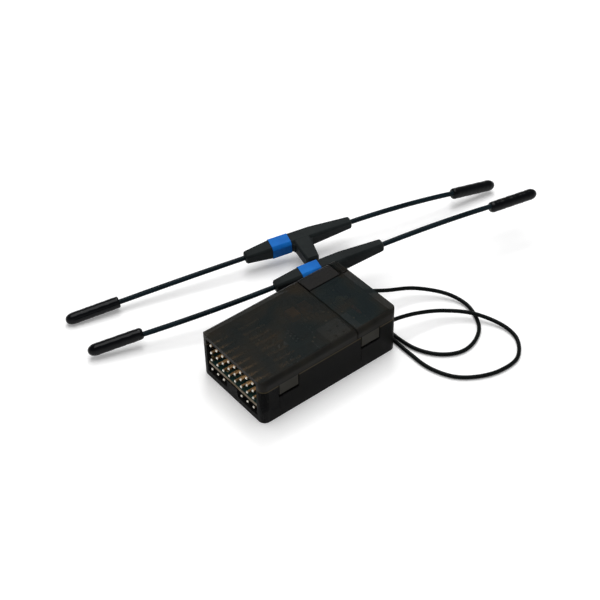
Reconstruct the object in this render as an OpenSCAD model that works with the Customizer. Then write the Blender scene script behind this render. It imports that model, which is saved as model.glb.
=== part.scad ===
// Radio control receiver: a smoky two-cover case with three rows of servo pins at the front,
// its circuit inside, and two T-shaped dipole antennas on thin coaxial leads.
// The case stands on z = 0 with its centre at the origin and its pins facing -X.

/* [Case] */
// Length of the case, front to rear
case_l = 45; // [43:0.5:50]
// Width of the case
case_w = 26.2; // [26:0.2:30]
// Height from the floor to the top of the covers
case_h = 14.2; // [14.2:0.1:16]
// Thickness of the walls
wall = 1.2; // [1:0.1:1.4]
// Thickness of the floor
floor_t = 1.2; // [0.8:0.1:1.4]
// Radius of the upright corners
corner_r = 2; // [1.4:0.1:2.4]
// Radius of the covers' long edges
edge_r = 1.6; // [0.8:0.1:2]
// Depth of the covers' skirt
skirt_h = 3; // [2.6:0.1:3.4]
// Length of the rear cover
rear_cover_l = 13.7; // [13:0.1:15]
// Width of the seam
seam_gap = 0.3; // [0.2:0.05:0.4]
// Height of the sill under the pin opening
sill_h = 1.8; // [1.4:0.1:1.9]
// Width of the pier between the two data sockets
pier_w = 4.4; // [3:0.1:5.4]
// Depth of the pier
pier_l = 5; // [3:0.5:6]

/* [Latches] */
// Width of a snap tab
tab_w = 6; // [4:0.5:8]
// Length of a snap tab below the skirt
tab_h = 3.5; // [2:0.1:4]
// Height of the slot under a tab
tab_slot = 0.7; // [0.4:0.1:1]
// Gap at each side of a tab
tab_gap = 0.3; // [0.2:0.05:0.5]
// Distance of the front tabs from the front end
front_tab_in = 8.5; // [7:0.5:10]
// Distance of the rear tabs from the rear end
rear_tab_in = 9.3; // [8:0.1:10]

/* [Button] */
// Length of the button plate
button_l = 11.2; // [9:0.1:11.4]
// Width of the button plate, out to the case's side
button_w = 6.4; // [5.6:0.1:7]
// Gap round the button plate
button_gap = 0.4; // [0.3:0.05:0.5]
// Travel of the button
button_travel = 0.3; // [0.1:0.05:0.3]
// Reach of the lip that keeps the button in
button_lip = 0.5; // [0.4:0.05:0.6]
// Diameter of the post under the button
post_d = 3; // [2:0.1:4]
// Side of the switch body
switch_w = 4; // [3.4:0.1:4.4]
// Height of the switch body
switch_h = 3; // [2.4:0.1:3.4]
// Diameter of the switch plunger
plunger_d = 2; // [1.6:0.1:2.4]
// Running clearance round the plunger
plunger_fit = 0.06; // [0.03:0.01:0.09]

/* [Grip strip] */
// Width of the raised strip at the rear edge
strip_w = 1.7; // [1.4:0.1:1.8]
// Height of the strip's pad
pad_h = 0.25; // [0.15:0.05:0.4]
// Number of ridges
ridge_n = 3; // [2:1:3]
// Diameter of a ridge
ridge_d = 0.4; // [0.3:0.05:0.45]

/* [Pins] */
// Pitch of the pins
pitch = 2.54; // [2.5:0.01:2.56]
// Side of a square pin
pin_w = 0.64; // [0.6:0.01:0.66]
// Free length of the pins in front of their block
pin_free = 6; // [5:0.1:6.4]
// Depth of a header block
block_l = 2.5; // [2.2:0.1:2.8]
// Distance of the pin tips behind the case's front
tip_in = 0.1; // [0:0.05:0.4]
// Chamfer at the corners of a header block
block_cut = 0.35; // [0.2:0.05:0.5]
// Fit of a pin in its block
pin_fit = 0.02; // [0.01:0.01:0.04]

/* [Circuit] */
// Thickness of the main board
board_t = 0.8; // [0.6:0.1:1]
// Height of the board's underside
board_z = 4.5; // [4.4:0.1:4.8]
// Gap between the board and the walls
board_gap = 0.3; // [0.2:0.05:0.4]
// Height of the radio shield
shield_h = 2.2; // [1.6:0.1:3]
// Thickness of the shield's sheet
shield_t = 0.25; // [0.15:0.05:0.4]

/* [Antenna leads] */
// Diameter of a coaxial lead
coax_d = 1.13; // [0.9:0.01:1.2]
// Clearance of a lead in the rear wall
coax_fit = 0.28; // [0.2:0.02:0.4]
// Height of the leads in the rear wall
coax_z = 6.4; // [6.3:0.1:6.5]
// Distance of the far lead from the far wall
coax_a_in = 6.5; // [6.3:0.1:6.9]
// Distance of the near lead from the near wall
coax_b_in = 2.5; // [2.3:0.1:2.9]
// Diameter of a coaxial plug
plug_d = 2.6; // [2.2:0.1:3]
// Height of a coaxial plug
plug_h = 1.2; // [1:0.1:1.4]

/* [Dipoles] */
// Length of a T housing's crossbar
bar_l = 33; // [30:0.5:36]
// Side of the crossbar's square middle
bar_w = 4.5; // [4:0.1:4.5]
// Side of the crossbar's left end
bar_left_w = 3.1; // [2.4:0.1:3.4]
// Side of the crossbar's right end
bar_right_w = 2.9; // [2.4:0.1:3.4]
// Start of the left taper, from the left end
left_taper = 7.5; // [6:0.5:8]
// Start of the right taper, from the right end
right_taper = 12.5; // [9:0.5:12.5]
// Distance of the stem from the crossbar's middle, to the right
stem_x = 0.5; // [0.4:0.1:1]
// Length of the far antenna's stem from the crossbar's axis
stem_b_l = 9.6; // [8:0.1:10]
// Length of the near antenna's stem
stem_a_l = 7.2; // [6.6:0.1:7.4]
// Width of the stem at the crossbar
stem_root_w = 5.4; // [4.4:0.1:5.8]
// Width of the stem's end
stem_end_w = 4; // [3.4:0.1:4.4]
// Fillet between the stem and the crossbar
stem_fillet = 0.6; // [0.4:0.1:0.8]
// Length of the coloured band
band_l = 5.8; // [3:0.1:6]
// Thickness of the coloured band
band_t = 0.2; // [0.1:0.05:0.3]
// Diameter of a whip
whip_d = 1.3; // [1:0.1:1.8]
// Length of a left whip between its housing and its cap
whip_left_l = 38; // [30:1:45]
// Length of a right whip
whip_right_l = 35; // [30:1:45]
// Diameter of a tip cap
cap_d = 2.9; // [2.4:0.1:3.1]
// Length of a tip cap
cap_l = 15.5; // [10:0.5:20]

/* [Hidden] */
$fn = 48;

smoke = [0.16, 0.15, 0.15, 0.75];
black = [0.04, 0.05, 0.06];
gold = [0.83, 0.66, 0.3];

eps = 0.01;
front_x = -case_l / 2;
rear_x = case_l / 2;
side_y = case_w / 2;
cover_z = case_h - wall;
seam_x = rear_x - rear_cover_l;
parting_z = case_h - skirt_h;
board_top = board_z + board_t;
in_y = side_y - wall;

// As many rows and columns of pins as the case takes, and the opening round them
rows = floor((cover_z - board_top) / pitch);
column_spare = 2.2;
mouth_spare = 0.44;
columns = floor((2 * in_y - column_spare) / pitch);
mouth_w = columns * pitch + 2 * mouth_spare;

// Side places of the leads
coax_a_y = in_y - coax_a_in;
coax_b_y = coax_b_in - in_y;

front_in = front_x + wall;
rear_in = rear_x - wall;

// Latch places along the case
front_tab_x = front_x + front_tab_in;
rear_tab_x = rear_x - rear_tab_in;

// The button plate takes the rear cover's far corner beside the seam
cut_x0 = seam_x + seam_gap / 2;
cut_x1 = cut_x0 + button_l;
cut_y = side_y - button_w;
cap_x0 = cut_x0 + button_gap / 2;
cap_x1 = cut_x1 - button_gap;
cap_y0 = cut_y + button_gap;
lip_t = 0.5;
lip_drop = 0.3;
cap_z = cover_z - lip_drop - lip_t;
ledge_z = parting_z + 0.6;
post_x = (cap_x0 + cap_x1) / 2;
post_y = in_y - board_gap - 0.5 - switch_w / 2;
plunger_rise = 0.5;
plunger_l = 1.4;
plunger_top = board_top + switch_h + plunger_rise;
bore_spare = 0.2;
bore_depth = plunger_l - plunger_rise + button_travel + bore_spare;

// Pin geometry, counted from the tips
tip_x = front_x + tip_in;
block_x = tip_x + pin_free;
block_end = block_x + block_l;
leg_first = 1.9;
leg_below = 0.8;
tip_cut = 0.2;
row_y = pitch * (columns - 1) / 2;
data_z = board_z - pitch / 2;
data_leg_x = block_end + 0.6;
leg_hole_d = 1;
data_columns = [for (c = [0:columns - 1]) if (abs(c - (columns - 1) / 2) > 1) c];

// Circuit places along the board, as shares of its length between the pin legs and the jacks
jack_x = rear_in - 3;
legs_end = block_end + leg_first + pitch * (rows - 1) + pin_w / 2;
function along(share) = legs_end + share * (jack_x - legs_end);
board_y = in_y - board_gap;
shield_y = board_y - 1.1;
shield_x = 0.42 * (jack_x - legs_end);
mcu_size = [shield_x * 2 / 3, shield_y * 2 / 3, 1.1];
mcu_at = [along(0.21), -shield_y / 2 - 0.15];
memory_at = [along(0.37), 0.29 * board_y];
shield_at = [along(0.69), -shield_y / 2 - 0.15];
switch_run = post_x - switch_w / 2 - legs_end;
regulator_l = switch_run / 3;
regulator_at = [legs_end + 0.26 * switch_run, board_y - 2.6];
tantalum_l = 0.15 * switch_run;
tantalum_at = [for (share = [0.83, 0.61]) [legs_end + share * switch_run, board_y - 2.2]];
crystal_at = [along(0.09), 0.16 * board_y];
row_near = 0.8 - board_y;
row_far = 0.52 * board_y;
jack_h = 0.6;
lead_t = 0.15;
barrel_x = jack_x + plug_d / 2 - 0.2;

// Clearance of the band's sleeve on the crossbar
band_fit = 0.02;
// Radius that rounds a housing's edges, as a share of its half width
edge_share = 1.2;

// Pose of each dipole: middle of its crossbar, yaw, pitch and roll of its stem
pose_a = [[rear_x + 0.07, side_y + 2.1, case_h - 3.97], -14.3, 5.7, -88];
pose_b = [[rear_x + 3.7, side_y + 20.4, 6], -15.5, 3.6, -172];
// Bend of each whip: radius of its arc and the direction it bends to
bend_a_left = [319, -167];
bend_a_right = [269, -77];
bend_b_left = [1460, -8];
bend_b_right = [129, -64];

// Point on a stem's axis, out beyond its end face
function turn_x(v, a) = [v[0], v[1] * cos(a) - v[2] * sin(a), v[1] * sin(a) + v[2] * cos(a)];
function turn_y(v, a) = [v[0] * cos(a) + v[2] * sin(a), v[1], v[2] * cos(a) - v[0] * sin(a)];
function turn_z(v, a) = [v[0] * cos(a) - v[1] * sin(a), v[0] * sin(a) + v[1] * cos(a), v[2]];
function stem_point(pose, y) =
    pose[0] + turn_z(turn_y(turn_x([stem_x, y, 0], pose[3]), -pose[2]), pose[1]);

// Routes of the leads, from their plugs to their stems, with x counted from the case's rear
low = 0.6;
barrel_end = rear_in - 0.4;
function from_rear(points) = [for (p = points) p + [rear_x, 0, 0]];
route_a = concat(
    [[barrel_end, coax_a_y, coax_z]],
    from_rear([
        [1, coax_a_y, coax_z], [3.5, 4.2, 6.3], [9.5, 1.4, 5], [17.1, -1, 3.4], [23.7, -7.2, 1.8],
        [25.7, -12.6, 0.9], [24.9, -17.3, low], [21.7, -22.6, low], [16.3, -25.7, low],
        [11.4, -25.9, low], [6.6, -23, low], [3.4, -18, low], [2.3, -12, low], [2.6, -4, low],
        [2.8, 4, low], [2.5, side_y - 3.7, low], [1.95, side_y - 0.8, low],
        [1.65, side_y + 0.75, 0.85], [1.45, side_y + 1.7, 1.7]]),
    [stem_point(pose_a, stem_a_l + 0.3), stem_point(pose_a, stem_a_l)]);
route_b = concat(
    [[barrel_end, coax_b_y, coax_z]],
    from_rear([
        [1, coax_b_y, coax_z], [4.5, -9.8, 5.1], [10.5, -10.5, 4.2], [17.1, -13, 3.1],
        [23.5, -18.4, 2.2], [27.3, -26.4, 1], [26.7, -32, low], [21.5, -37.2, low],
        [14.9, -37.7, low], [8.9, -35.7, low], [3.9, -31.7, low], [1, -25, low],
        [0.7, -17.6, low], [0.9, -10, low], [0.95, -2, low], [0.9, side_y - 5, low],
        [0.5, side_y - 1, low], [0, side_y + 2, low], [0.05, side_y + 4, 0.95],
        [0.4, side_y + 5.8, 2.1], [0.85, side_y + 7.6, 3.6]]),
    [stem_point(pose_b, stem_b_l + 1.3), stem_point(pose_b, stem_b_l)]);

// Round-cornered plan of the case, grown by g
module plan(g = 0) {
    r = corner_r + g;
    x = case_l / 2 - corner_r;
    y = side_y - corner_r;
    union() {
        square([case_l + 2 * g, 2 * y], center = true);
        square([2 * x, case_w + 2 * g], center = true);
        for (i = [-1, 1], j = [-1, 1]) translate([i * x, j * y]) circle(r);
    }
}

// Cross-section of the covers with rounded long edges, seen along X
module cover_section() {
    y = side_y - edge_r;
    translate([-side_y, parting_z]) square([case_w, skirt_h - edge_r]);
    translate([-y, parting_z]) square([2 * y, skirt_h]);
    for (j = [-1, 1]) translate([j * y, case_h - edge_r]) circle(edge_r);
}

// Solid outline of both covers between two places along X
module cover_block(x0, x1) {
    intersection() {
        translate([0, 0, parting_z]) linear_extrude(skirt_h) plan();
        translate([x0, 0, 0]) rotate([90, 0, 90]) linear_extrude(x1 - x0) cover_section();
    }
}

// Hollow of the covers under their top
module cover_hollow(x0, x1) {
    translate([x0, 0, 0]) intersection() {
        translate([-x0, 0, parting_z - eps]) linear_extrude(skirt_h - wall + eps) plan(-wall);
        translate([0, -side_y, parting_z - 1]) cube([x1 - x0, case_w, skirt_h + 1]);
    }
}

// A pair of snap tabs, one at each side
module tabs(x) {
    for (j = [-1, 1])
        translate([x - tab_w / 2, j > 0 ? in_y : -side_y, parting_z - tab_h])
            cube([tab_w, wall, tab_h + eps]);
}

// Windows in the base for a pair of tabs
module tab_windows(x) {
    w = tab_w + 2 * tab_gap;
    for (j = [-1, 1])
        translate([x - w / 2, j > 0 ? in_y - eps : -side_y - eps, parting_z - tab_h - tab_slot])
            cube([w, wall + 2 * eps, tab_h + tab_slot + eps]);
}

// Corner ledges that carry the board
module board_ledges() {
    l = 3;
    w = in_y - mouth_w / 2;
    for (i = [-1, 1], j = [-1, 1])
        translate([i > 0 ? rear_in - l : front_in, j > 0 ? in_y - w : -in_y, floor_t - eps])
            cube([l, w, board_z - floor_t + eps]);
}

module base_shell() {
    color(smoke) difference() {
        union() {
            difference() {
                linear_extrude(parting_z) plan();
                translate([0, 0, floor_t]) linear_extrude(parting_z) plan(-wall);
                translate([front_x - eps, -mouth_w / 2, sill_h])
                    cube([wall + 2 * eps, mouth_w, parting_z]);
            }
            intersection() {
                board_ledges();
                linear_extrude(parting_z) plan(-wall / 2);
            }
            translate([front_x, -pier_w / 2, floor_t - eps])
                cube([pier_l, pier_w, board_z - floor_t + eps]);
        }
        tab_windows(front_tab_x);
        tab_windows(rear_tab_x);
        for (y = [coax_a_y, coax_b_y]) translate([rear_in - 1, y, coax_z])
            rotate([0, 90, 0]) cylinder(wall + 2, r = coax_d / 2 + coax_fit);
    }
}

module front_cover() {
    x1 = seam_x - seam_gap / 2;
    color(smoke) union() {
        difference() {
            cover_block(front_x, x1);
            cover_hollow(front_x, x1 + eps);
            translate([front_x - eps, -mouth_w / 2, parting_z - eps])
                cube([wall + 2 * eps, mouth_w, skirt_h - wall + eps]);
        }
        tabs(front_tab_x);
    }
}

// Raised pad with round ridges across the rear edge
module grip_strip() {
    x0 = cut_x1 + 0.25;
    l = button_w - edge_r;
    step = strip_w / ridge_n;
    translate([x0, cut_y, case_h - eps]) cube([strip_w, l, pad_h + eps]);
    for (i = [0:ridge_n - 1])
        translate([x0 + step * (i + 0.5), cut_y, case_h + pad_h])
            rotate([-90, 0, 0]) cylinder(l, d = ridge_d);
}

module rear_cover() {
    x0 = seam_x + seam_gap / 2;
    color(smoke) union() {
        difference() {
            cover_block(x0, rear_x);
            cover_hollow(x0 - eps, rear_x);
            translate([x0 - eps, cut_y, cover_z - 1]) cube([cut_x1 - x0 + eps, button_w + 1, wall + 2]);
            translate([x0 - eps, in_y - eps, ledge_z])
                cube([cut_x1 - x0 + eps, wall + 1, skirt_h]);
        }
        grip_strip();
        tabs(rear_tab_x);
    }
}

// Plate with its keeping lip and the post that presses the switch
module button_cap() {
    color(smoke) union() {
        intersection() {
            cover_block(cap_x0, cap_x1);
            translate([cap_x0, cap_y0, cap_z]) cube([cap_x1 - cap_x0, button_w, case_h]);
        }
        translate([cap_x0 - button_lip, cap_y0 - button_gap - button_lip, cap_z])
            cube([cap_x1 - cap_x0 + button_gap + 2 * button_lip,
                  in_y - board_gap - cap_y0 + button_gap + button_lip, lip_t]);
        translate([post_x, post_y, plunger_top]) cylinder(cap_z - plunger_top + eps, d = post_d);
    }
}

module main_board() {
    color([0.1, 0.16, 0.12]) difference() {
        union() {
            translate([front_in + board_gap, board_gap - in_y, board_z])
                cube([rear_in - front_in - 2 * board_gap, 2 * (in_y - board_gap), board_t]);
            translate([front_x + 0.3, board_gap - mouth_w / 2, board_z])
                cube([wall + 2 * board_gap, mouth_w - 2 * board_gap, board_t]);
        }
        for (r = [0:rows - 1], c = [0:columns - 1])
            translate([leg_x(r), column_y(c), board_z - 1]) cylinder(board_t + 2, d = leg_hole_d);
        for (c = data_columns)
            translate([data_leg_x, column_y(c), board_z - 1]) cylinder(board_t + 2, d = leg_hole_d);
    }
}

function column_y(c) = row_y - pitch * c;
function leg_x(r) = block_end + leg_first + pitch * r;
function pin_z(r) = board_top + pitch * (r + 0.5);

// Eight-sided section of a header around one pin
module header_cell(l) {
    a = pitch / 2;
    b = a - block_cut;
    rotate([90, 0, 90]) linear_extrude(l)
        polygon([[-a, -b], [-b, -a], [b, -a], [a, -b], [a, b], [b, a], [-b, a], [-a, b]]);
}

module pin_hole(x, y, z) {
    w = pin_w + 2 * pin_fit;
    translate([x - 1, y - w / 2, z - w / 2]) cube([block_l + 2, w, w]);
}

module servo_header() {
    color([0.05, 0.05, 0.05]) difference() {
        for (r = [0:rows - 1], c = [0:columns - 1])
            translate([block_x, column_y(c), pin_z(r)]) header_cell(block_l);
        for (r = [0:rows - 1], c = [0:columns - 1]) pin_hole(block_x, column_y(c), pin_z(r));
    }
}

// Right-angle pin in its own plane: tip at the origin, the leg turning down by drop
module bent_pin(run, drop) {
    h = pin_w / 2;
    rotate([90, 0, 0]) linear_extrude(pin_w, center = true)
        polygon([[0, -h + tip_cut], [tip_cut, -h], [run - h, -h], [run - h, tip_cut - drop],
                 [run - h + tip_cut, -drop], [run + h - tip_cut, -drop], [run + h, tip_cut - drop],
                 [run + h, h - tip_cut], [run + h - tip_cut, h], [tip_cut, h], [0, h - tip_cut]]);
}

module servo_pins() {
    color(gold) for (r = [0:rows - 1], c = [0:columns - 1])
        translate([tip_x, column_y(c), pin_z(r)])
            bent_pin(leg_x(r) - tip_x, pin_z(r) - board_z + leg_below);
}

module data_header() {
    color([0.05, 0.05, 0.05]) difference() {
        for (c = data_columns) translate([block_x, column_y(c), data_z]) header_cell(block_l);
        for (c = data_columns) pin_hole(block_x, column_y(c), data_z);
    }
}

module data_pins() {
    color(gold) for (c = data_columns)
        translate([tip_x, column_y(c), data_z]) mirror([0, 0, 1])
            bent_pin(data_leg_x - tip_x, board_top - data_z + leg_below);
}

// Flat package standing a little above the board, with a dimple at pin one
module chip(at, size) {
    lift = lead_t;
    translate([at[0], at[1], board_top + lift]) difference() {
        translate([-size[0] / 2, -size[1] / 2, 0]) cube([size[0], size[1], size[2]]);
        translate([0.8 - size[0] / 2, size[1] / 2 - 0.8, size[2] - 0.1]) cylinder(1, d = 0.7, $fn = 24);
    }
}

// Gull-wing leads along one side of a chip, leaving it towards +X
module lead_row(n, step, w) {
    rise = 0.55;
    reach = 0.9;
    for (i = [0:n - 1]) translate([0, (i - (n - 1) / 2) * step, 0])
        rotate([90, 0, 0]) linear_extrude(w, center = true)
            polygon([[0, rise], [0.3, rise], [0.3, 0], [reach, 0], [reach, lead_t],
                     [0.3 + lead_t, lead_t], [0.3 + lead_t, rise + lead_t], [0, rise + lead_t]]);
}

module mcu_chip() {
    color([0.07, 0.07, 0.08]) chip(mcu_at, mcu_size);
}

module mcu_leads() {
    color("silver") translate([mcu_at[0], mcu_at[1], board_top])
        for (i = [0, 1], a = [0, 180]) rotate([0, 0, a + 90 * i])
            translate([mcu_size[i] / 2, 0, 0])
                lead_row(floor((mcu_size[1 - i] - 1) / 0.8), 0.8, 0.35);
}

memory_size = [3.9, 4.9, 1.2];

module memory_chip() {
    color([0.07, 0.07, 0.08]) chip(memory_at, memory_size);
}

module memory_leads() {
    color("silver") for (a = [0, 180])
        translate([memory_at[0], memory_at[1], board_top]) rotate([0, 0, a])
            translate([memory_size[0] / 2, 0, 0]) lead_row(4, 1.27, 0.4);
}

// Drawn sheet can with vent holes
module radio_shield() {
    x = shield_x / 2;
    y = shield_y / 2;
    color([0.7, 0.7, 0.72]) translate([shield_at[0], shield_at[1], board_top]) difference() {
        translate([-x, -y, 0]) cube([2 * x, 2 * y, shield_h]);
        translate([shield_t - x, shield_t - y, -1])
            cube([2 * (x - shield_t), 2 * (y - shield_t), shield_h + 1 - shield_t]);
        for (i = [-1, 0, 1], j = [-1, 0, 1])
            translate([i * x / 2, j * y / 2, 0]) cylinder(shield_h + 1, d = 0.9, $fn = 24);
    }
}

// Power regulator with its wide tab and three leads
module regulator() {
    l = regulator_l;
    color([0.07, 0.07, 0.08]) translate([regulator_at[0], regulator_at[1], board_top]) {
        translate([-l / 2, -1.5, 0]) cube([l, 3, 1.6]);
        translate([-l / 4, 1.5 - eps, 0]) cube([l / 2, 0.9, 0.25]);
        for (i = [-1, 0, 1]) translate([i * 0.36 * l - 0.35, -2.4, 0]) cube([0.7, 0.9 + eps, 0.25]);
    }
}

module crystal() {
    color([0.75, 0.75, 0.77]) translate([crystal_at[0], crystal_at[1], board_top]) {
        translate([-1.6, -1.25, 0]) cube([3.2, 2.5, 0.5]);
        translate([-1.4, -1.05, 0.5 - eps]) cube([2.8, 2.1, 0.3]);
    }
}

module tantalum_caps() {
    l = tantalum_l;
    color([0.8, 0.45, 0.12]) for (at = tantalum_at) translate([at[0], at[1], board_top]) {
        translate([-l / 2, -1.75, 0.15]) cube([l, 3.5, 1.8]);
        for (j = [-1, 1])
            translate([-0.4 * l, j * 1.75 - (j > 0 ? 0.6 : 0.1), 0]) cube([0.8 * l, 0.7, 0.6]);
    }
}

// Small two-ended part lying along X or Y
module small_part(at, size, turn) {
    translate([at[0], at[1], board_top]) rotate([0, 0, turn])
        translate([-size[0] / 2, -size[1] / 2, 0]) cube(size);
}

module ceramic_caps() {
    color([0.62, 0.5, 0.36])
        for (at = [[0.53, row_far], [0.585, row_far], [0.64, row_far], [0.05, row_near],
                   [0.11, row_near], [0.695, row_far], [0.75, row_far]])
            small_part([along(at[0]), at[1]], [1, 0.5, 0.5], 90);
}

module resistors() {
    color([0.08, 0.08, 0.09])
        for (at = [[0.56, row_far / 2], [0.61, row_far / 2], [0.66, row_far / 2], [0.17, row_near],
                   [0.23, row_near], [0.29, row_near], [0.8, row_far / 2]])
            small_part([along(at[0]), at[1]], [1, 0.5, 0.35], 90);
}

module status_leds() {
    color([0.85, 0.2, 0.15]) for (y = [1.4, -0.6]) small_part([jack_x + 1.6, y], [0.8, 1.6, 0.6], 0);
}

module switch_body() {
    w = switch_w;
    color([0.12, 0.12, 0.13]) translate([post_x, post_y, board_top]) difference() {
        translate([-w / 2, -w / 2, 0]) cube([w, w, switch_h]);
        translate([0, 0, switch_h - bore_depth]) cylinder(bore_depth + 1, r = plunger_d / 2 + plunger_fit);
    }
}

module switch_plunger() {
    color([0.85, 0.85, 0.82]) translate([post_x, post_y, plunger_top - plunger_l])
        cylinder(plunger_l, d = plunger_d);
}

module antenna_jacks() {
    color(gold) for (y = [coax_a_y, coax_b_y]) translate([jack_x, y, board_top]) {
        translate([-1.3, -1.3, 0]) cube([2.6, 2.6, jack_h - 0.2]);
        cylinder(jack_h, d = 2);
    }
}

// Coaxial plug seated on its jack, its crimp barrel towards the rear wall
module antenna_plugs() {
    z0 = board_top + jack_h;
    color([0.8, 0.7, 0.45]) for (y = [coax_a_y, coax_b_y]) {
        translate([jack_x, y, z0]) cylinder(plug_h, d = plug_d);
        translate([barrel_x, y, coax_z]) rotate([0, 90, 0])
            cylinder(barrel_end - barrel_x, d = coax_d - 0.1);
    }
}

function unit(v) = v / norm(v);
function route_dir(p, q, i) =
    i == 0 ? unit(p[1] - p[0])
    : i == len(q) - 1 ? unit(p[len(p) - 1] - p[len(p) - 2])
    : unit(q[i + 1] - q[i - 1]);

// Smooth route through hand-chosen points, with one point between each pair
function between(p, i) =
    let (a = p[max(i - 1, 0)], b = p[i], c = p[i + 1], d = p[min(i + 2, len(p) - 1)])
    (9 * (b + c) - a - d) / 16;
function smooth(p) = concat([for (i = [0:len(p) - 2]) each [p[i], between(p, i)]], [p[len(p) - 1]]);
function ring(c, t, r, n) =
    let (u = unit(cross(t, [0, 0, 1])), v = cross(u, t))
    [for (k = [0:n - 1]) let (a = 360 * (k + 0.5) / n) c + r * (cos(a) * u + sin(a) * v)];

// Tube with flat ends swept along a route
module lead_tube(p) {
    n = 8;
    q = smooth(p);
    last = len(q) - 1;
    points = [for (i = [0:last]) each ring(q[i], route_dir(p, q, i), coax_d / 2, n)];
    sides = [for (i = [0:last - 1], k = [0:n - 1])
        let (k1 = (k + 1) % n) each [
            [i * n + k, i * n + k1, (i + 1) * n + k1],
            [i * n + k, (i + 1) * n + k1, (i + 1) * n + k]]];
    ends = [[for (k = [0:n - 1]) n - 1 - k], [for (k = [0:n - 1]) last * n + k]];
    polyhedron(points, concat(sides, ends));
}

module coax_a() {
    color(black) lead_tube(route_a);
}

module coax_b() {
    color(black) lead_tube(route_b);
}

// Puts a dipole's own frame in place, with its crossbar along X
module at_pose(pose) {
    translate(pose[0]) rotate([0, -pose[2], pose[1]]) children();
}

// Half outline of the crossbar in steps along its length, scaled by k
module bar_outline(k, half_plane) {
    h = bar_l / 2;
    w = k * bar_w / 2;
    a = k * bar_left_w / 2;
    b = k * bar_right_w / 2;
    cut = 0.4;
    upper = [[a - cut, -h], [a, cut - h], [w, left_taper - h], [w, h - right_taper],
             [b, h - cut], [b - cut, h]];
    lower = [for (i = [5:-1:0]) [-upper[i][0], upper[i][1]]];
    polygon(half_plane ? concat([[0, -h]], upper, [[0, h]]) : concat(upper, lower));
}

// Square crossbar with tapers, its long edges rounded by a turned form
module crossbar() {
    intersection() {
        rotate([0, 0, -90]) linear_extrude(bar_w, center = true) bar_outline(1, false);
        rotate([90, 0, 0]) rotate([0, 0, -90]) linear_extrude(bar_w, center = true) bar_outline(1, false);
        rotate([0, 90, 0]) rotate_extrude() bar_outline(edge_share, true);
    }
}

// Stem along +Y with its width tapering in the plane of the T
module stem(l) {
    a = stem_root_w / 2;
    b = stem_end_w / 2;
    t = bar_w / 2;
    cut = 0.4;
    intersection() {
        translate([0, 0, -t]) linear_extrude(2 * t)
            polygon([[-a, 0], [a, 0], [b, l - cut], [b - cut, l], [cut - b, l], [-b, l - cut]]);
        rotate([90, 0, 90]) translate([0, 0, -a]) linear_extrude(2 * a)
            polygon([[0, -t], [l - cut, -b], [l, cut - b], [l, b - cut], [l - cut, b], [0, t]]);
        rotate([-90, 0, 0]) cylinder(l, edge_share * a, edge_share * b);
    }
}

// T housing with flat faces and soft edges, a fillet at each side of its stem
module housing(pose, stem_l) {
    c = stem_root_w / 2;
    r = bar_w / 2;
    web = 0.5;
    color(black) at_pose(pose) rotate([pose[3], 0, 0]) union() {
        crossbar();
        translate([stem_x, 0, 0]) {
            stem(stem_l);
            for (i = [0, 1]) mirror([i, 0, 0])
                translate([c - web, r - web, -bar_left_w / 2]) linear_extrude(bar_left_w)
                    difference() {
                        square(stem_fillet + web);
                        translate([stem_fillet + web, stem_fillet + web]) circle(stem_fillet);
                    }
        }
    }
}

// Section of the crossbar's middle, grown by g
module bar_section(g) {
    intersection() {
        square(bar_w + 2 * g, center = true);
        circle(edge_share * bar_w / 2 + g);
    }
}

// Coloured sleeve round the crossbar, left of the stem
module band(pose) {
    x = stem_x - stem_root_w / 2 - stem_fillet - 0.1 - band_l;
    color([0.08, 0.3, 0.68]) at_pose(pose) rotate([pose[3], 0, 0]) translate([x, 0, 0])
        rotate([0, 90, 0]) difference() {
            linear_extrude(band_l) bar_section(band_t);
            translate([0, 0, -1]) linear_extrude(band_l + 2) bar_section(band_fit);
        }
}

// Frame of a whip's root at the crossbar's end, the whip leaving along X and bending to +Y
module at_root(pose, side, bend) {
    at_pose(pose) rotate([0, 0, side > 0 ? 0 : 180]) translate([bar_l / 2, 0, 0])
        rotate([bend[1], 0, 0]) children();
}

function whip_l(side) = side > 0 ? whip_right_l : whip_left_l;
function whip_turn(side, bend) = whip_l(side) / bend[0] * 180 / PI;

module whip(pose, side, bend) {
    color(black) at_root(pose, side, bend) translate([0, bend[0], 0]) rotate([0, 0, -90])
        rotate_extrude(angle = whip_turn(side, bend), $fn = 96)
            translate([bend[0], 0]) circle(d = whip_d, $fn = 24);
}

// Moulded tip cap with a tapered neck and a round end
module tip_cap(pose, side, bend) {
    turn = whip_turn(side, bend);
    r = cap_d / 2;
    neck = 2.2;
    color(black) at_root(pose, side, bend)
        translate([bend[0] * sin(turn), bend[0] * (1 - cos(turn)), 0]) rotate([0, 90, turn])
            union() {
                rotate_extrude()
                    polygon([[0, 0], [whip_d / 2 + 0.25, 0], [r, neck], [r, cap_l - r], [0, cap_l - r]]);
                translate([0, 0, cap_l - r]) sphere(r);
            }
}

base_shell();
front_cover();
rear_cover();
button_cap();
main_board();
servo_header();
servo_pins();
data_header();
data_pins();
mcu_chip();
mcu_leads();
memory_chip();
memory_leads();
radio_shield();
regulator();
crystal();
tantalum_caps();
ceramic_caps();
resistors();
status_leds();
switch_body();
switch_plunger();
antenna_jacks();
antenna_plugs();
coax_a();
coax_b();
housing(pose_a, stem_a_l);  // housing_a
housing(pose_b, stem_b_l);  // housing_b
band(pose_a);  // band_a
band(pose_b);  // band_b
whip(pose_a, -1, bend_a_left);  // whip_a_left
whip(pose_a, 1, bend_a_right);  // whip_a_right
whip(pose_b, -1, bend_b_left);  // whip_b_left
whip(pose_b, 1, bend_b_right);  // whip_b_right
tip_cap(pose_a, -1, bend_a_left);  // cap_a_left
tip_cap(pose_a, 1, bend_a_right);  // cap_a_right
tip_cap(pose_b, -1, bend_b_left);  // cap_b_left
tip_cap(pose_b, 1, bend_b_right);  // cap_b_right
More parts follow.
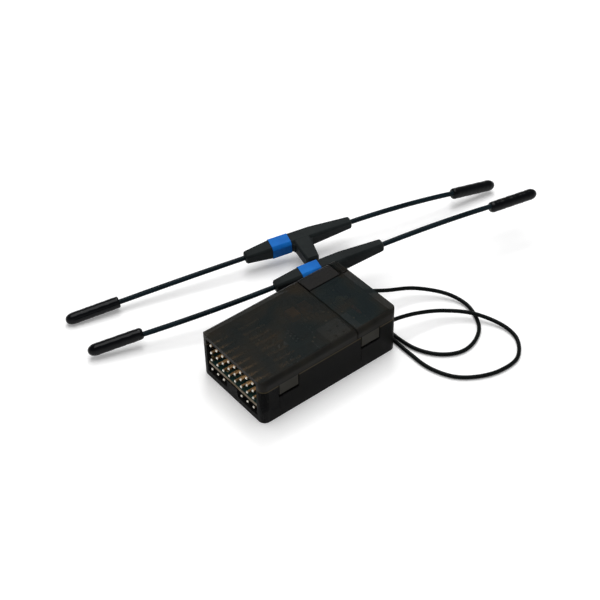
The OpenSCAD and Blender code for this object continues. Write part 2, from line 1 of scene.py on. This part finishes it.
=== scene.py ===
"""Looks of the radio control receiver: camera, leads, materials and light."""
import math

import bpy
from mathutils import Matrix, Vector


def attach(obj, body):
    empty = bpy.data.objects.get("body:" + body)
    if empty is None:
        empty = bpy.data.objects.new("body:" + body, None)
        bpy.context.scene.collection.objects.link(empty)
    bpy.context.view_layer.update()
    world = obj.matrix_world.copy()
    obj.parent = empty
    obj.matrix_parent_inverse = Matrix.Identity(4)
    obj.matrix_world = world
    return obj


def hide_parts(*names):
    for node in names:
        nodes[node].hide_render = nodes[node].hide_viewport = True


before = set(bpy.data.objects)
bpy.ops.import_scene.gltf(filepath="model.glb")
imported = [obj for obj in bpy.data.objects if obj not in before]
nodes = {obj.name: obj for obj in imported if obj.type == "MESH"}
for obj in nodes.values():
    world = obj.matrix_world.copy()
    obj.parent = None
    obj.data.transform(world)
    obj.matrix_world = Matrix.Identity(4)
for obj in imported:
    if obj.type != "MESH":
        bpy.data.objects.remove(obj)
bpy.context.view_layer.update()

scene = bpy.context.scene
MM = 0.001


def new_object(name, data):
    obj = bpy.data.objects.new(name, data)
    scene.collection.objects.link(obj)
    return obj


# Camera, placed by the fit of the pins and the case's edges to the photograph

AZIMUTH, ELEVATION, ROLL = -37.912, 41.931, -1.303     # degrees
DISTANCE, SHIFT_X, SHIFT_Y = 365.66, 0.097, -15.579    # millimetres
LENS, SENSOR = 82.148, 36


def add_camera():
    a, e, r = (math.radians(v) for v in (AZIMUTH, ELEVATION, ROLL))
    back = Vector((math.sin(a) * math.cos(e), -math.cos(a) * math.cos(e), math.sin(e)))
    right = Vector((math.cos(a), math.sin(a), 0))
    up = back.cross(right)
    x = math.cos(r) * right + math.sin(r) * up
    y = -math.sin(r) * right + math.cos(r) * up
    data = bpy.data.cameras.new("camera")
    data.sensor_width = SENSOR
    data.lens = LENS
    data.clip_start = 0.01
    cam = new_object("camera", data)
    place = (DISTANCE * back - SHIFT_X * x - SHIFT_Y * y) * MM
    cam.matrix_world = Matrix.Translation(place) @ Matrix((x, y, back)).transposed().to_4x4()
    scene.camera = cam


add_camera()

# Coaxial leads, from their holes in the case to the antennas' stems, in millimetres

LEAD_A = [
    (20.9, 5.4, 6.4), (23.4, 5.4, 6.3), (26.4, 4.5, 5.85), (32, 1.6, 5), (39.6, -1.2, 3.4),
    (46.2, -7.2, 1.8), (48.2, -12.6, 0.9), (47.4, -17.3, 0.6), (44.2, -22.6, 0.6),
    (38.8, -25.7, 0.6), (33.9, -25.9, 0.6), (29.1, -23, 0.6), (25.9, -18, 0.6), (24.8, -12, 0.6),
    (25.1, -4, 0.6), (25.3, 4, 0.6), (25, 9.4, 0.6), (24.45, 12.3, 0.62), (24.15, 13.85, 0.95),
    (23.95, 14.8, 1.84), (23.838, 15.147, 2.821), (23.807, 15.15, 3.12)]
LEAD_B = [
    (20.9, -9.4, 6.4), (23.3, -9.4, 6.3), (27, -9.6, 5.75), (33, -10.6, 4.6), (39.6, -13, 3.2),
    (46, -18.4, 2.2), (49.8, -26.4, 1), (49.2, -32, 0.6), (44, -37.2, 0.6), (37.4, -37.7, 0.6),
    (31.4, -35.7, 0.6), (26.4, -31.7, 0.6), (23.5, -25, 0.6), (23.2, -17.6, 0.6),
    (23.4, -10, 0.6), (23.45, -2, 0.6), (23.4, 8.1, 0.6), (23, 12.1, 0.6), (22.5, 15.1, 0.6),
    (22.55, 17.1, 0.95), (22.9, 18.9, 2.1), (23.35, 20.7, 3.6), (23.888, 22.94, 4.517),
    (24.221, 24.183, 4.698)]
LEAD_D = 1.13


def smooth(points, steps=6):
    """A Catmull-Rom curve through the points, spaced so that uneven gaps make no kinks."""
    points = [2 * points[0] - points[1]] + points + [2 * points[-1] - points[-2]]
    out = []
    for a, b, c, d in zip(points, points[1:], points[2:], points[3:]):
        t1 = (b - a).length ** 0.5
        t2 = t1 + (c - b).length ** 0.5
        t3 = t2 + (d - c).length ** 0.5
        for k in range(steps):
            t = t1 + (t2 - t1) * k / steps
            ab = a.lerp(b, t / t1)
            bc = b.lerp(c, (t - t1) / (t2 - t1))
            cd = c.lerp(d, (t - t2) / (t3 - t2))
            abc = ab.lerp(bc, t / t2)
            bcd = bc.lerp(cd, (t - t1) / (t3 - t1))
            out.append(abc.lerp(bcd, (t - t1) / (t2 - t1)))
    return out + [points[-2]]


def tube(name, points, radius, sides=14):
    """Mesh tube with flat ends along points in millimetres, its rings carried without twist."""
    last = len(points) - 1
    ways = [(points[min(i + 1, last)] - points[max(i - 1, 0)]).normalized() for i in range(last + 1)]
    side = ways[0].orthogonal().normalized()
    verts, faces = [], []
    for i, (p, way) in enumerate(zip(points, ways)):
        side = (side - side.dot(way) * way).normalized()
        other = way.cross(side)
        for k in range(sides):
            turn = 2 * math.pi * k / sides
            verts.append((p + radius * (math.cos(turn) * side + math.sin(turn) * other)) * MM)
            if i < last:
                n = i * sides
                k1 = (k + 1) % sides
                faces.append((n + k, n + k1, n + sides + k1, n + sides + k))
    faces += [tuple(range(sides - 1, -1, -1)), tuple(last * sides + k for k in range(sides))]
    mesh = bpy.data.meshes.new(name)
    mesh.from_pydata(verts, [], faces)
    for face in mesh.polygons:
        face.use_smooth = len(face.vertices) == 4
    return new_object(name, mesh)


def stand_for(obj, node):
    """Puts a new piece on the receiver's body in place of a CAD node."""
    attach(obj, "receiver")
    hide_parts(node)


def add_lead(name, route, node):
    points = smooth([Vector(p) for p in route])
    obj = tube(name, points, LEAD_D / 2)
    stand_for(obj, node)
    return obj


leads = [add_lead("lead_far", LEAD_A, "coax_a"),
         add_lead("lead_near", LEAD_B, "coax_b")]


# Material building blocks

class Look:
    """A Principled material with helpers for patterns in the frame's own metres."""

    def __init__(self, name, **sockets):
        self.material = bpy.data.materials.new(name)
        self.material.use_nodes = True
        self.tree = self.material.node_tree
        self.tree.nodes.clear()
        out = self.tree.nodes.new("ShaderNodeOutputMaterial")
        self.shader = self.tree.nodes.new("ShaderNodeBsdfPrincipled")
        self.tree.links.new(self.shader.outputs[0], out.inputs[0])
        self.place = self.tree.nodes.new("ShaderNodeTexCoord").outputs["Object"]
        for key, value in sockets.items():
            self.shader.inputs[key.replace("_", " ")].default_value = value

    def node(self, kind, inputs=(), **settings):
        n = self.tree.nodes.new(kind)
        for key, value in settings.items():
            setattr(n, key, value)
        for key, value in dict(inputs).items():
            if isinstance(value, bpy.types.NodeSocket):
                self.tree.links.new(value, n.inputs[key])
            else:
                n.inputs[key].default_value = value
        return n

    def stretched(self, scale, turn=(0, 0, 0)):
        return self.node("ShaderNodeMapping",
                         {"Vector": self.place, "Scale": scale, "Rotation": turn}).outputs[0]

    def noise(self, scale, detail=4.0, roughness=0.6, distortion=0.0, place=None):
        return self.node("ShaderNodeTexNoise", {
            "Vector": place or self.place, "Scale": scale, "Detail": detail,
            "Roughness": roughness, "Distortion": distortion}).outputs["Fac"]

    def cells(self, scale, randomness=1.0):
        return self.node("ShaderNodeTexVoronoi", {
            "Vector": self.place, "Scale": scale, "Randomness": randomness}).outputs["Distance"]

    def ramp(self, value, stops):
        n = self.node("ShaderNodeValToRGB", {"Fac": value})
        band = n.color_ramp
        for at, colour in stops[2:]:
            band.elements.new(at)
        for element, (at, colour) in zip(band.elements, stops):
            element.position = at
            element.color = (*colour, 1)
        return n.outputs["Color"]

    def remap(self, value, low, high, start=0.3, end=0.7):
        return self.node("ShaderNodeMapRange", {
            "Value": value, "From Min": start, "From Max": end,
            "To Min": low, "To Max": high}).outputs["Result"]

    def mix(self, value, a, b):
        n = self.node("ShaderNodeMix", data_type="RGBA")
        for slot, v in ((0, value), (6, a), (7, b)):
            if isinstance(v, bpy.types.NodeSocket):
                self.tree.links.new(v, n.inputs[slot])
            else:
                n.inputs[slot].default_value = v if slot == 0 else (*v, 1)
        return n.outputs[2]

    def math(self, operation, a, b=0.0):
        n = self.node("ShaderNodeMath", operation=operation)
        for slot, v in ((0, a), (1, b)):
            if isinstance(v, bpy.types.NodeSocket):
                self.tree.links.new(v, n.inputs[slot])
            else:
                n.inputs[slot].default_value = v
        return n.outputs[0]

    def bump(self, height, depth):
        n = self.node("ShaderNodeBump", {"Height": height, "Distance": depth, "Strength": 1.0})
        self.set("Normal", n.outputs["Normal"])

    def set(self, name, socket):
        self.tree.links.new(socket, self.shader.inputs[name])


def moulded(name, dark, light, rough, grain=2600, depth=0.000012, **sockets):
    """Moulded plastic: cloudy tone, fine grain and a roughness that wanders."""
    look = Look(name, **sockets)
    tone = look.noise(150, 5, 0.62, 0.4)
    fine = look.noise(grain, 3, 0.7)
    both = look.math("ADD", look.math("MULTIPLY", tone, 0.86), look.math("MULTIPLY", fine, 0.14))
    look.set("Base Color", look.ramp(both, [(0.36, dark), (0.64, light)]))
    look.set("Roughness", look.remap(tone, rough[0], rough[1]))
    look.bump(fine, depth)
    return look


def plated(name, dark, light, rough):
    """Plated or tinned metal with faint streaks and dull patches."""
    look = Look(name, Metallic=1.0)
    streak = look.noise(600, 6, 0.65, place=look.stretched((1, 4, 4)))
    patch = look.noise(1800, 4, 0.6)
    look.set("Base Color", look.ramp(streak, [(0.3, dark), (0.7, light)]))
    look.set("Roughness", look.remap(patch, rough[0], rough[1]))
    look.bump(patch, 0.000006)
    return look


def dress(material, *names):
    for name in names:
        mesh = nodes[name].data
        mesh.materials.clear()
        mesh.materials.append(material)


# Smoky case: each cover has its own faint tints, lines of painted shade by the snap tabs, and lines at
# the parting

def band_mask(look, axis, low, high, soft=0.04):
    """1 between two places along an axis, 0 outside, with soft ends, in millimetres."""
    value = look.node("ShaderNodeSeparateXYZ", {"Vector": look.place}).outputs[axis]
    rise = look.remap(value, 0.0, 1.0, (low - soft) * MM, low * MM)
    fall = look.remap(value, 1.0, 0.0, high * MM, (high + soft) * MM)
    return look.math("MULTIPLY", rise, fall)


def shade(look, mask, colour):
    """Lays a colour over the look's own one where the mask is 1."""
    own = look.shader.inputs["Base Color"].links[0].from_socket
    look.set("Base Color", look.mix(mask, own, colour))


def smoky(name, tints, rough, **sockets):
    """Smoky plastic whose tint drifts over the surface, as over unlike things beneath it."""
    look = Look(name, **sockets)
    drift = look.noise(85, 2, 0.5, 0.6)
    fleck = look.noise(700, 4, 0.65)
    fine = look.noise(2600, 3, 0.7)
    both = look.math("ADD", look.math("MULTIPLY", drift, 0.80), look.math("MULTIPLY", fleck, 0.20))
    look.set("Base Color", look.ramp(both, list(zip((0.34, 0.46, 0.54, 0.66), tints))))
    look.set("Roughness", look.remap(fleck, rough[0], rough[1]))
    look.bump(fine, 0.000003)
    return look.material


WINDOW = {"Alpha": 0.62, "Specular_IOR_Level": 0.07}
SKIRT = {"Alpha": 0.96, "Specular_IOR_Level": 0.07}
SHELL = {"Alpha": 0.96, "Specular_IOR_Level": 0.035}
SATIN = (0.34, 0.5)        # roughness, from and to
CASE_GRAIN = 0.000004      # depth of the grain in metres
BLACK = (0.0006, 0.0006, 0.0006)

PARTING = 11.2             # height where the covers meet the base
TAB_LEFTS = (-17.0, 10.2)  # the snap tabs' edges on the pin side
TAB_W, TAB_FOOT = 6.0, 7.7
TOP_FLOOR = 12.9           # level faces above this are the covers' clear tops

FRONT_TINTS = ((0.0030, 0.0078, 0.0078), (0.0088, 0.0105, 0.0088),
               (0.0130, 0.0125, 0.0090), (0.0205, 0.0150, 0.0080))
REAR_TINTS = ((0.0030, 0.0090, 0.0108), (0.0060, 0.0120, 0.0120),
              (0.0120, 0.0125, 0.0100), (0.0200, 0.0155, 0.0085))


def base_look():
    """Nearly black, with painted shade for a slit by each tab and for the slot below it, and a pale
    upper rim.
    """
    look = moulded("case_base", (0.0022, 0.0024, 0.0027), (0.0058, 0.0058, 0.0052), SATIN,
                   depth=CASE_GRAIN, **SHELL)
    for left in TAB_LEFTS:
        slit = look.math("MULTIPLY", band_mask(look, "X", left - 0.2, left),
                         band_mask(look, "Z", 2.2, 7.4))
        slot = look.math("MULTIPLY", band_mask(look, "X", left, left + TAB_W),
                         band_mask(look, "Z", 6.6, TAB_FOOT))
        # painted shade: black laid where the slit by each tab and the slot below it fall in shade
        shade(look, look.math("MAXIMUM", slit, slot), BLACK)
    shade(look, band_mask(look, "Z", 10.75, PARTING), (0.058, 0.047, 0.028))
    return look.material


def skirt_look(name):
    """Denser than the tops, with a black lower rim and paler tabs below the parting."""
    look = moulded(name, (0.0090, 0.0088, 0.0080), (0.0165, 0.0150, 0.0115), SATIN,
                   depth=CASE_GRAIN, **SKIRT)
    shade(look, band_mask(look, "Z", PARTING, 11.42), BLACK)
    shade(look, band_mask(look, "Z", 7.0, 11.1), (0.034, 0.032, 0.026))
    return look.material


def add_cover(side, tints):
    """A copy of the cover with a clear flat top and denser skirts, tabs and edges."""
    name = side + "_cover"
    mesh = nodes[name].data.copy()
    mesh.materials.clear()
    mesh.materials.append(smoky("window_" + side, tints, SATIN, **WINDOW))
    mesh.materials.append(skirt_look("skirt_" + side))
    for face in mesh.polygons:
        flat = abs(face.normal.z) > 0.95 and face.center.z > TOP_FLOOR * MM
        face.material_index = 0 if flat else 1
    obj = new_object(name + "_smoky", mesh)
    stand_for(obj, name)
    return obj


covers = [add_cover("front", FRONT_TINTS), add_cover("rear", REAR_TINTS)]
dress(base_look(), "base_shell")
dress(moulded("case_button", (0.0105, 0.0100, 0.0098), (0.0170, 0.0155, 0.0135), (0.36, 0.5),
              depth=CASE_GRAIN, Alpha=0.82, Specular_IOR_Level=0.07).material, "button_cap")

# Circuit board: dark laminate with tracks and pads, and a bare edge in the case's mouth

CUT_EDGE = -22.12          # millimetres along X


def board_look():
    look = Look("board_laminate", Specular_IOR_Level=0.35)
    turned = look.stretched((1, 1, 1), (0, 0, math.radians(45)))
    weave = look.noise(900, 3, 0.6)
    tracks = look.node("ShaderNodeTexBrick", {
        "Vector": turned, "Scale": 900.0, "Mortar Size": 0.09, "Mortar Smooth": 0.2,
        "Brick Width": 2.6, "Row Height": 0.45, "Color1": (0, 0, 0, 1),
        "Color2": (0.25, 0.25, 0.25, 1), "Mortar": (1, 1, 1, 1)}).outputs["Color"]
    pads = look.ramp(look.cells(520, randomness=0.8), [(0.18, (1, 1, 1)), (0.22, (0, 0, 0))])
    base = look.ramp(weave, [(0.35, (0.006, 0.026, 0.030)), (0.65, (0.016, 0.055, 0.050))])
    lined = look.mix(look.math("MULTIPLY", tracks, 0.8), base, (0.03, 0.10, 0.09))
    look.set("Base Color", look.mix(pads, lined, (0.55, 0.42, 0.22)))
    shade(look, band_mask(look, "X", -22.6, CUT_EDGE), (0.20, 0.15, 0.09))
    look.set("Roughness", look.remap(weave, 0.3, 0.5))
    look.bump(tracks, 0.00003)
    return look.material


dress(board_look(), "main_board")

# Inner and front pieces

dress(moulded("header_black", (0.006, 0.006, 0.0065), (0.012, 0.012, 0.012), (0.45, 0.65),
              Specular_IOR_Level=0.2).material,
      "servo_header", "data_header", "switch_body")
dress(moulded("epoxy_black", (0.012, 0.012, 0.014), (0.024, 0.024, 0.026), (0.45, 0.6),
              grain=5200, Specular_IOR_Level=0.3).material,
      "mcu_chip", "memory_chip", "regulator", "resistors")

TIP_FROM, TIP_TO = -22.2, -22.05     # where the painted highlight at the cut tips ends, in millimetres along X
SHADE_FROM, SHADE_TO = -20.0, -18.0    # where painted shade darkens the pins inside the case


def pin_look():
    """Brown-gold pins, with a painted highlight of near-white metal at the cut tips and painted shade
    inside the case.
    """
    look = Look("pin_gold", Metallic=1.0)
    streak = look.noise(600, 6, 0.65, place=look.stretched((1, 4, 4)))
    patch = look.noise(1800, 4, 0.6)
    gold = look.ramp(streak, [(0.3, (0.34, 0.18, 0.08)), (0.7, (0.66, 0.42, 0.20))])
    along = look.node("ShaderNodeSeparateXYZ", {"Vector": look.place}).outputs["X"]
    # painted highlight: the cut tips turn near white
    tip = look.remap(along, 1.0, 0.0, TIP_FROM * MM, TIP_TO * MM)
    # painted shade: the pins grow dark inside the case
    inside = look.remap(along, 0.0, 0.7, SHADE_FROM * MM, SHADE_TO * MM)
    shaded_gold = look.mix(inside, gold, (0.02, 0.02, 0.02))
    look.set("Base Color", look.mix(tip, shaded_gold, (0.95, 0.90, 0.80)))
    look.set("Roughness", look.remap(patch, 0.2, 0.4))
    look.bump(patch, 0.000006)
    return look.material


dress(pin_look(), "servo_pins", "data_pins")
dress(plated("plug_gold", (0.55, 0.40, 0.18), (0.85, 0.66, 0.32), (0.25, 0.4)).material,
      "antenna_jacks", "antenna_plugs")
dress(plated("lead_tin", (0.30, 0.30, 0.30), (0.52, 0.52, 0.52), (0.28, 0.45)).material,
      "mcu_leads", "memory_leads")
dress(plated("shield_tin", (0.14, 0.14, 0.14), (0.30, 0.30, 0.29), (0.35, 0.55)).material,
      "radio_shield", "crystal")
dress(moulded("cap_orange", (0.42, 0.13, 0.02), (0.70, 0.27, 0.05), (0.35, 0.5),
              Specular_IOR_Level=0.4).material, "tantalum_caps")
dress(moulded("cap_ceramic", (0.26, 0.16, 0.09), (0.45, 0.32, 0.20), (0.5, 0.7)).material,
      "ceramic_caps")
dress(moulded("lamp_red", (0.45, 0.04, 0.02), (0.75, 0.14, 0.08), (0.15, 0.3)).material,
      "status_leds")
dress(moulded("plunger_white", (0.55, 0.55, 0.52), (0.75, 0.75, 0.72), (0.4, 0.55)).material,
      "switch_plunger")

# Antennas

dress(moulded("antenna_black", (0.0095, 0.0120, 0.0125), (0.0185, 0.0225, 0.0225), (0.42, 0.58),
              grain=3200, depth=0.00002, Specular_IOR_Level=0.05).material,
      "housing_a", "housing_b")
dress(moulded("band_blue", (0.004, 0.115, 0.45), (0.012, 0.165, 0.56), (0.4, 0.55),
              grain=2200, Specular_IOR_Level=0.06).material,
      "band_a", "band_b")
dress(moulded("whip_sheath", (0.0022, 0.0070, 0.0100), (0.0050, 0.0135, 0.0190), (0.26, 0.4),
              grain=1600, Specular_IOR_Level=0.07).material,
      "whip_a_left", "whip_a_right", "whip_b_left", "whip_b_right")
rubber = moulded("tip_rubber", (0.0006, 0.0009, 0.0016), (0.0016, 0.0022, 0.0034), (0.08, 0.18),
                 grain=500, depth=0.00004, Specular_IOR_Level=0.14).material

WHIP_R = 0.62                        # millimetres
CAP_SIDES, CAP_RINGS, DOME_RINGS = 28, 30, 9


def cap_line(name):
    """Ends of the CAD cap's own middle line: at its whip, and at its tip."""
    verts = [v.co / MM for v in nodes[name].data.vertices]
    whip = [v.co / MM for v in nodes[name.replace("cap", "whip")].data.vertices]
    way = (sum(verts, Vector()) / len(verts) - sum(whip, Vector()) / len(whip)).normalized()
    for _ in range(3):
        along = [v.dot(way) for v in verts]
        near = [v for v, a in zip(verts, along) if a < min(along) + 0.02]
        far = [v for v, a in zip(verts, along) if a > max(along) - 0.002]
        start, tip = sum(near, Vector()) / len(near), sum(far, Vector()) / len(far)
        way = (tip - start).normalized()
    return start, tip


def cap_profile(length, radius, neck):
    """Places along the cap with the radius at each, from the flat neck to the round end."""
    blunt = neck < 0.5
    rim = radius - 0.1 if blunt else WHIP_R + 0.5 * (radius - WHIP_R)
    shoulder = radius - 0.12 if blunt else radius * 0.86
    rings = [(0, WHIP_R), (0, rim), (neck * 0.25, shoulder), (neck * 0.6, radius * 0.97), (neck, radius)]
    dome = 1.35 * radius
    for k in range(1, CAP_RINGS + 1):
        rings.append((neck + (length - dome - neck) * k / CAP_RINGS, radius))
    for k in range(1, DOME_RINGS):
        a = math.pi / 2 * k / DOME_RINGS
        rings.append((length - dome + dome * math.sin(a), radius * math.cos(a) ** 0.9))
    return rings


def add_cap(name, radius, neck, lift, seed):
    """Heat-shrunk cap in place of the plain one: blunt neck, slack ripples, round end."""
    start, tip = cap_line(name)
    way = (tip - start).normalized()
    length = (tip - start).length - 0.03
    side = way.cross(Vector((0, 0, 1))).normalized()
    up = side.cross(way)
    start = start + lift * up
    rings = cap_profile(length, radius, neck)
    points, faces = [], []
    for i, (t, w) in enumerate(rings):
        for k in range(CAP_SIDES):
            a = 2 * math.pi * k / CAP_SIDES
            slack = 0.012 * math.sin(1.9 * t + 2 * a + seed)
            slack += 0.010 * math.sin(4.3 * t - 3 * a + 2 * seed)
            r = w * (1 + slack * min(1, max(0, w - WHIP_R)))
            points.append((start + t * way + r * (math.cos(a) * side + math.sin(a) * up)) * MM)
            if i < len(rings) - 1:
                n, k1 = i * CAP_SIDES, (k + 1) % CAP_SIDES
                faces.append((n + k, n + k1, n + CAP_SIDES + k1, n + CAP_SIDES + k))
    last = (len(rings) - 1) * CAP_SIDES
    points.append((start + length * way) * MM)
    faces += [(last + k, last + (k + 1) % CAP_SIDES, len(points) - 1) for k in range(CAP_SIDES)]
    faces.append(tuple(range(CAP_SIDES - 1, -1, -1)))
    mesh = bpy.data.meshes.new(name + "_shrunk")
    mesh.from_pydata(points, [], faces)
    for face in mesh.polygons[:-1]:
        face.use_smooth = True
    mesh.materials.append(rubber)
    stand_for(new_object(name + "_shrunk", mesh), name)


for cap, radius, neck, lift, seed in (
        ("cap_a_left", 1.68, 1.0, 0.0, 0.4),
        ("cap_b_left", 1.66, 0.3, 0.14, 1.7),
        ("cap_a_right", 1.62, 1.2, 0.0, 2.9),
        ("cap_b_right", 1.68, 0.9, 0.2, 4.1)):
    add_cap(cap, radius, neck, lift, seed)

sheath = moulded("lead_sheath", (0.0014, 0.0024, 0.0024), (0.0035, 0.0052, 0.0048), (0.22, 0.36),
                 grain=1400, Specular_IOR_Level=0.06).material
for lead in leads:
    lead.data.materials.append(sheath)


# Soft edges on the moulded and cut pieces, and whips as thick as in the photograph

def weld(obj):
    """Joins the loose corners of a CAD mesh, so that the next modifier sees one surface."""
    obj.modifiers.new("weld", "WELD").merge_threshold = 0.000002


def soften(obj, width, segments=2, angle=35):
    weld(obj)
    bevel = obj.modifiers.new("edges", "BEVEL")
    bevel.width = width * MM
    bevel.segments = segments
    bevel.limit_method = "ANGLE"
    bevel.angle_limit = math.radians(angle)
    bevel.harden_normals = False
    bevel.miter_outer = "MITER_ARC"


for obj in (nodes["base_shell"], nodes["button_cap"], *covers):
    soften(obj, 0.12)
for name in ("housing_a", "housing_b"):
    soften(nodes[name], 0.35, 3, 25)
for name in ("band_a", "band_b"):
    soften(nodes[name], 0.06)
for name in ("servo_header", "data_header", "mcu_chip", "memory_chip", "radio_shield",
             "tantalum_caps", "regulator", "switch_body"):
    soften(nodes[name], 0.08)


def thicken(obj, depth):
    weld(obj)
    swell = obj.modifiers.new("swell", "DISPLACE")
    swell.strength = depth * MM
    swell.mid_level = 0.0


for name in ("whip_a_left", "whip_a_right", "whip_b_left", "whip_b_right"):
    thicken(nodes[name], 0.09)


# Floor, world and lamps

FLOOR_HALF = 3.0
FLOOR_SOFT, FLOOR_WHITE, FLOOR_GLOW = 0.35, 0.98, 0.16
SKY = [(0.0, 0.95), (0.2, 0.8), (0.55, 0.30), (1.0, 0.24)]    # height, level


def white_rays(tree):
    """1 for rays from the camera and for mirrored and passing rays, 0 for soft light."""
    path = tree.nodes.new("ShaderNodeLightPath")
    value = path.outputs["Is Camera Ray"]
    for name in ("Is Glossy Ray", "Is Transmission Ray"):
        n = tree.nodes.new("ShaderNodeMath")
        n.operation = "MAXIMUM"
        tree.links.new(value, n.inputs[0])
        tree.links.new(path.outputs[name], n.inputs[1])
        value = n.outputs[0]
    return value


def add_floor():
    """A floor that is white to the camera and in mirrored rays, and dimmer to soft light."""
    mesh = bpy.data.meshes.new("floor")
    s = FLOOR_HALF
    mesh.from_pydata([(-s, -s, 0), (s, -s, 0), (s, s, 0), (-s, s, 0)], [], [(0, 1, 2, 3)])
    new_object("floor", mesh)
    mat = bpy.data.materials.new("floor_white")
    mat.use_nodes = True
    tree = mat.node_tree
    tree.nodes.clear()
    out = tree.nodes.new("ShaderNodeOutputMaterial")
    add = tree.nodes.new("ShaderNodeAddShader")
    diffuse = tree.nodes.new("ShaderNodeBsdfDiffuse")
    glow = tree.nodes.new("ShaderNodeEmission")
    colour = tree.nodes.new("ShaderNodeMix")
    colour.data_type = "RGBA"
    colour.inputs[6].default_value = (FLOOR_SOFT, FLOOR_SOFT, FLOOR_SOFT, 1)
    colour.inputs[7].default_value = (FLOOR_WHITE, FLOOR_WHITE, FLOOR_WHITE, 1)
    strength = tree.nodes.new("ShaderNodeMath")
    strength.operation = "MULTIPLY"
    strength.inputs[1].default_value = FLOOR_GLOW
    white = white_rays(tree)
    tree.links.new(white, colour.inputs[0])
    tree.links.new(white, strength.inputs[0])
    tree.links.new(colour.outputs[2], diffuse.inputs["Color"])
    tree.links.new(strength.outputs[0], glow.inputs["Strength"])
    tree.links.new(diffuse.outputs[0], add.inputs[0])
    tree.links.new(glow.outputs[0], add.inputs[1])
    tree.links.new(add.outputs[0], out.inputs[0])
    mesh.materials.append(mat)


def set_world():
    """A plain sky, pale at the horizon and dim overhead."""
    world = bpy.data.worlds.new("studio")
    world.use_nodes = True
    tree = world.node_tree
    tree.nodes.clear()
    out = tree.nodes.new("ShaderNodeOutputWorld")
    sky = tree.nodes.new("ShaderNodeBackground")
    place = tree.nodes.new("ShaderNodeTexCoord")
    parts = tree.nodes.new("ShaderNodeSeparateXYZ")
    ramp = tree.nodes.new("ShaderNodeValToRGB")
    band = ramp.color_ramp
    for at, _ in SKY[2:]:
        band.elements.new(at)
    for element, (at, level) in zip(band.elements, SKY):
        element.position = at
        element.color = (level, level, level, 1)
    tree.links.new(place.outputs["Generated"], parts.inputs[0])
    tree.links.new(parts.outputs["Z"], ramp.inputs["Fac"])
    tree.links.new(ramp.outputs["Color"], sky.inputs["Color"])
    tree.links.new(sky.outputs[0], out.inputs[0])
    scene.world = world


def add_lamp(name, place, size, power):
    data = bpy.data.lights.new(name, "AREA")
    data.shape = "SQUARE"
    data.size = size
    data.energy = power
    lamp = new_object(name, data)
    lamp.location = place
    lamp.rotation_euler = Vector(place).to_track_quat("Z", "Y").to_euler()


add_floor()
set_world()
add_lamp("lamp_over", (0.08, 0.12, 1.0), 0.8, 6.4)
add_lamp("lamp_behind", (0.36, 0.46, 0.84), 0.25, 2.0)

scene.view_settings.view_transform = "Standard"

bpy.context.view_layer.update()
